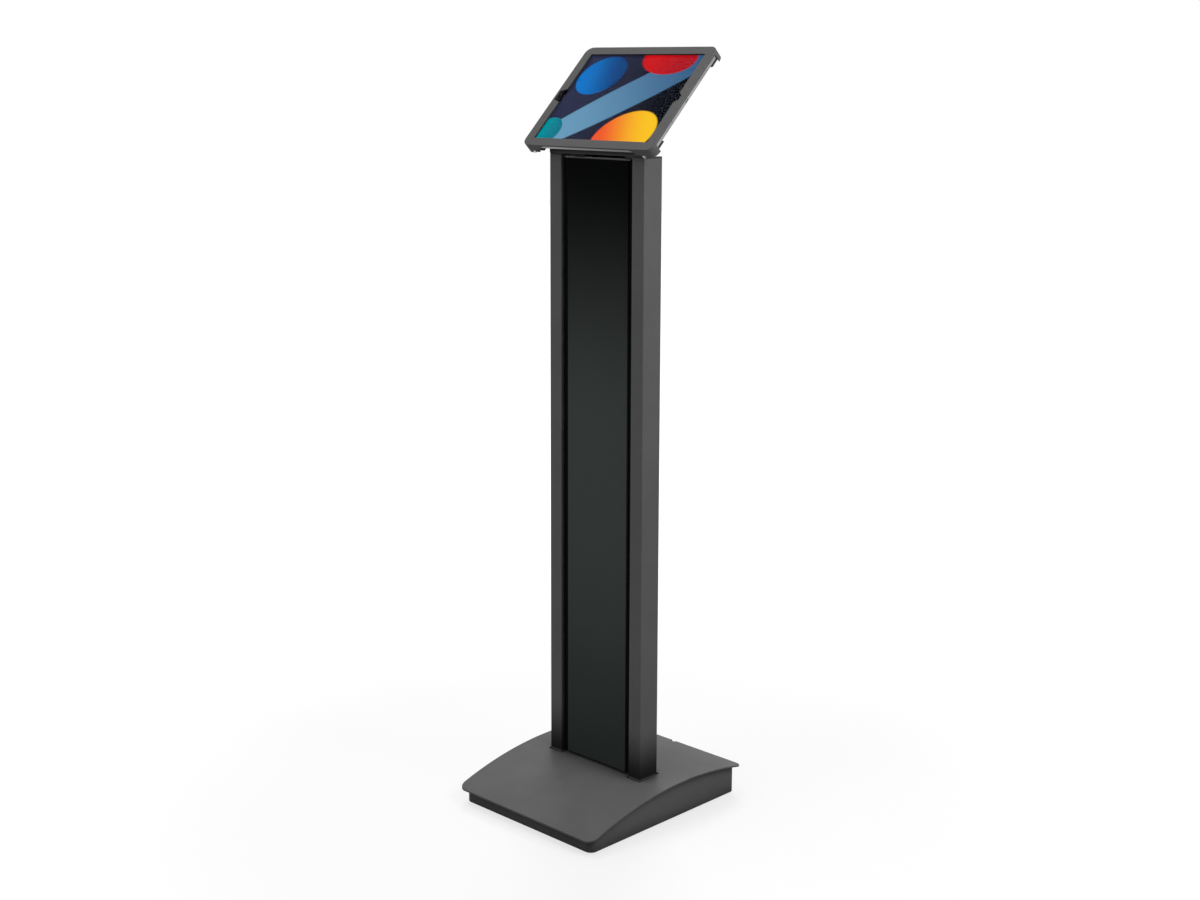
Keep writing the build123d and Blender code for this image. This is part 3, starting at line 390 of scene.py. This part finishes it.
def screenMaterial(name, look):
    material, tree, shader = startMaterial(name, Base_Color=(*look["unlit"], 1.0),
                                           Roughness=look["rough"], Specular_IOR_Level=0.0,
                                           Emission_Strength=look["strength"])
    center, normal = headPlane()
    plane = addNode(tree, "ShaderNodeMapping", vector_type="TEXTURE")
    plane.inputs["Location"].default_value = center
    plane.inputs["Rotation"].default_value = (normal.angle(Vector((0.0, 0.0, 1.0))), 0.0, 0.0)
    wire(tree, (addNode(tree, "ShaderNodeTexCoord").outputs["Object"], plane.inputs["Vector"]))
    side = addNode(tree, "ShaderNodeSeparateXYZ")
    wire(tree, (plane.outputs["Vector"], side.inputs[0]))
    fade = rampValue(tree, side.outputs["X"], -look["halfWidth"], look["halfWidth"])
    color = mixColors(tree, fade, look["night"], look["shade"])
    for place, reach, turn, nearColor, farColor, softness in look["shapes"]:
        local = addNode(tree, "ShaderNodeMapping", vector_type="TEXTURE")
        setInputs(local, Location=(*place, 0.0), Rotation=(0.0, 0.0, radians(turn)),
                  Scale=(*reach, look["depth"]))
        wire(tree, (plane.outputs["Vector"], local.inputs["Vector"]))
        length = addNode(tree, "ShaderNodeVectorMath", operation="LENGTH")
        along = addNode(tree, "ShaderNodeSeparateXYZ")
        for node in (length, along):
            wire(tree, (local.outputs["Vector"], node.inputs[0]))
        inner = mixColors(tree, rampValue(tree, along.outputs["X"], -0.8, 0.8), nearColor, farColor)
        cover = rampValue(tree, length.outputs["Value"], 1.0, 1.0 - softness)
        color = mixColors(tree, cover, color, inner)
    inside = []
    for axis, half in (("X", look["halfWidth"]), ("Y", look["halfHeight"])):
        off = mathNode(tree, "ABSOLUTE", side.outputs[axis])
        inside.append(mathNode(tree, "LESS_THAN", off, half))
    lit = mathNode(tree, "MULTIPLY", *inside)
    color = mixColors(tree, lit, (0.0, 0.0, 0.0), color)
    wire(tree, (color, shader.inputs["Emission Color"]))
    plainBump(tree, shader, noiseAt(tree, look["cellScale"]), look["relief"], 0.0001)
    return material


glassLook = dict(tint=(0.96, 0.98, 1.0), bend=1.06, rough=0.015, wipe=0.12, waveScale=40.0, wave=0.03)


def glassMaterial(name, look):
    # thin clear cover with faint smears
    material, tree, shader = startMaterial(name, Base_Color=(*look["tint"], 1.0), IOR=look["bend"],
                                           Transmission_Weight=1.0)
    smudge = useGroup(tree, smudgeGroup, Amount=look["wipe"])
    rough = mathNode(tree, "ADD", smudge.outputs["Mask"], look["rough"], True)
    wire(tree, (rough, shader.inputs["Roughness"]))
    plainBump(tree, shader, noiseAt(tree, look["waveScale"]), look["wave"], 0.0002)
    return material


lensLook = dict(color=(0.004, 0.004, 0.010), secondColor=(0.010, 0.008, 0.020),
                edgeColor=(0.05, 0.05, 0.06), specular=0.3, rough=0.06, wipe=0.1,
                edgeRadius=0.0003, edgeWearAndHighlight=0.4)


def lensMaterial(name, look):
    # dark glass with a faint rim and wipe marks
    material, tree, shader = startMaterial(name, Specular_IOR_Level=look["specular"])
    color = mixColors(tree, noiseAt(tree, 900.0), look["color"], look["secondColor"])
    edges = useGroup(tree, edgeGroup, Radius=look["edgeRadius"], Amount=look["edgeWearAndHighlight"])
    color = mixColors(tree, edges.outputs["Mask"], color, look["edgeColor"])
    smudge = useGroup(tree, smudgeGroup, Amount=look["wipe"])
    rough = mathNode(tree, "ADD", smudge.outputs["Mask"], look["rough"], True)
    wire(tree, (color, shader.inputs["Base Color"]), (rough, shader.inputs["Roughness"]))
    roundedBump(tree, shader, noiseAt(tree, 300.0), 0.02, 0.0001, 0.0002)
    return material


boardLook = dict(mask=(0.010, 0.075, 0.035), secondMask=(0.008, 0.055, 0.028), track=(0.05, 0.16, 0.06),
                 edgeColor=(0.20, 0.19, 0.12), rough=(0.28, 0.45), scale=160.0, trackWidth=0.03,
                 edgeRadius=0.0005, edgeWearAndHighlight=0.5, relief=0.3)


def boardMaterial(name, look):
    # solder mask with raised copper tracks
    material, tree, shader = startMaterial(name)
    brick = addNode(tree, "ShaderNodeTexBrick")
    setInputs(brick, Scale=look["scale"], Mortar_Size=look["trackWidth"], Color1=(*look["mask"], 1.0),
              Color2=(*look["secondMask"], 1.0), Mortar=(*look["track"], 1.0))
    wire(tree, (addNode(tree, "ShaderNodeTexCoord").outputs["Object"], brick.inputs["Vector"]))
    edges = useGroup(tree, edgeGroup, Radius=look["edgeRadius"], Amount=look["edgeWearAndHighlight"])
    color = mixColors(tree, edges.outputs["Mask"], brick.outputs["Color"], look["edgeColor"])
    rough = rampValue(tree, noiseAt(tree, 200.0, 3.0), 0.3, 0.7, *look["rough"])
    wire(tree, (color, shader.inputs["Base Color"]), (rough, shader.inputs["Roughness"]))
    roundedBump(tree, shader, brick.outputs["Fac"], look["relief"], 0.0001, 0.0002)
    return material


finishes = {name: coatedMaterial(name, look) for name, look in coatLooks.items()}
finishes.update({name: brushedMaterial(name, look) for name, look in brushedLooks.items()})
finishes["black_panel"] = panelMaterial("black_panel", panelLook)
finishes["screen"] = screenMaterial("screen", screenLook)
finishes["cover_glass"] = glassMaterial("cover_glass", glassLook)
finishes["lens"] = lensMaterial("lens", lensLook)
finishes["circuit_board"] = boardMaterial("circuit_board", boardLook)
print("materials ready:", len(finishes))


# Every carried-over part gets the finish of its slot.
for entry in frame["record"]["subparts"]:
    part = frame["nodes"][entry["node"]]
    part.data.materials.clear()
    part.data.materials.append(finishes[entry["material_slot"]])

# The display sits a hair behind its glass, so the two faces never share a plane.
displayLook = dict(setBack=0.00006)
settle = frame["nodes"]["display_module"].modifiers.new("settle", "DISPLACE")
settle.strength = -displayLook["setBack"]
settle.mid_level = 0.0
print("parts finished:", len(frame["nodes"]))


# Floor, light and camera
stageLook = dict(half=9.0, shade=(0.25, 0.25, 0.25), rough=0.9, near=0.70, far=1.0,
                 fadeStart=0.5, fadeEnd=1.8, skyFill=0.36)


white = (1.0, 1.0, 1.0, 1.0)


def seenRays(tree):
    # rays that look at the white surround: straight, reflected or through glass
    path = addNode(tree, "ShaderNodeLightPath")
    straight, through = path.outputs["Is Camera Ray"], path.outputs["Is Transmission Ray"]
    direct = mathNode(tree, "ADD", straight, through, True)
    return mathNode(tree, "ADD", direct, path.outputs["Is Glossy Ray"], True)


def makeFloor(look):
    mesh = bpy.data.meshes.new("floor")
    half = look["half"]
    corners = [(-half, -half, 0.0), (half, -half, 0.0), (half, half, 0.0), (-half, half, 0.0)]
    mesh.from_pydata(corners, [], [(0, 1, 2, 3)])
    floor = bpy.data.objects.new("floor", mesh)
    scene.collection.objects.link(floor)
    material, tree, shader = startMaterial("floor", Base_Color=(*look["shade"], 1.0),
                                           Roughness=look["rough"], Emission_Color=white)
    length = addNode(tree, "ShaderNodeVectorMath", operation="LENGTH")
    wire(tree, (addNode(tree, "ShaderNodeTexCoord").outputs["Object"], length.inputs[0]))
    glow = rampValue(tree, length.outputs["Value"], look["fadeStart"], look["fadeEnd"],
                     look["near"], look["far"])
    wire(tree, (mathNode(tree, "MULTIPLY", glow, seenRays(tree)), shader.inputs["Emission Strength"]))
    mesh.materials.append(material)


def makeSky(look):
    world = bpy.data.worlds.new("sky")
    world.use_nodes = True
    tree = world.node_tree
    background = next(node for node in tree.nodes if node.type == "BACKGROUND")
    background.inputs["Color"].default_value = white
    strength = rampValue(tree, seenRays(tree), 0.0, 1.0, look["skyFill"], 1.0, False)
    wire(tree, (strength, background.inputs["Strength"]))
    scene.world = world


lamps = {  # place, aim, size in metres, watts
    "topLamp": ((-0.6, -0.4, 4.0), (-0.1, -0.1, 0.1), 1.6, 30.0),
    "backLamp": ((-2.0, 2.4, 3.4), (0.0, 0.0, 0.2), 1.6, 62.0),
    "sideLamp": ((1.25, 0.1, 1.4), (0.0, 0.0, 0.7), 0.8, 10.8),
    "frontLamp": ((-0.5, -2.0, 2.0), (0.0, 0.0, 0.9), 0.9, 8.6),
}


def makeLamps():
    for name, (place, aim, size, watts) in lamps.items():
        data = bpy.data.lights.new(name, "AREA")
        data.shape = "SQUARE"
        data.size = size
        data.energy = watts
        lamp = bpy.data.objects.new(name, data)
        lamp.location = place
        lamp.rotation_euler = (Vector(aim) - Vector(place)).to_track_quat("-Z", "Y").to_euler()
        scene.collection.objects.link(lamp)


cameraLook = dict(sensor=36.0, place=(1.9530, -2.0320, 1.2233), turn=44.955, down=10.158, focal=52.967,
                  shift=(0.02527, -0.05923))


def makeCamera(look):
    data = bpy.data.cameras.new("camera")
    data.lens = look["focal"]
    data.sensor_width = look["sensor"]
    data.shift_x, data.shift_y = look["shift"]
    camera = bpy.data.objects.new("camera", data)
    camera.location = look["place"]
    camera.rotation_euler = (radians(90.0 - look["down"]), 0.0, radians(look["turn"]))
    scene.collection.objects.link(camera)
    scene.camera = camera


makeFloor(stageLook)
makeSky(stageLook)
makeLamps()
makeCamera(cameraLook)
scene.view_settings.view_transform = "Standard"
print("stage ready")
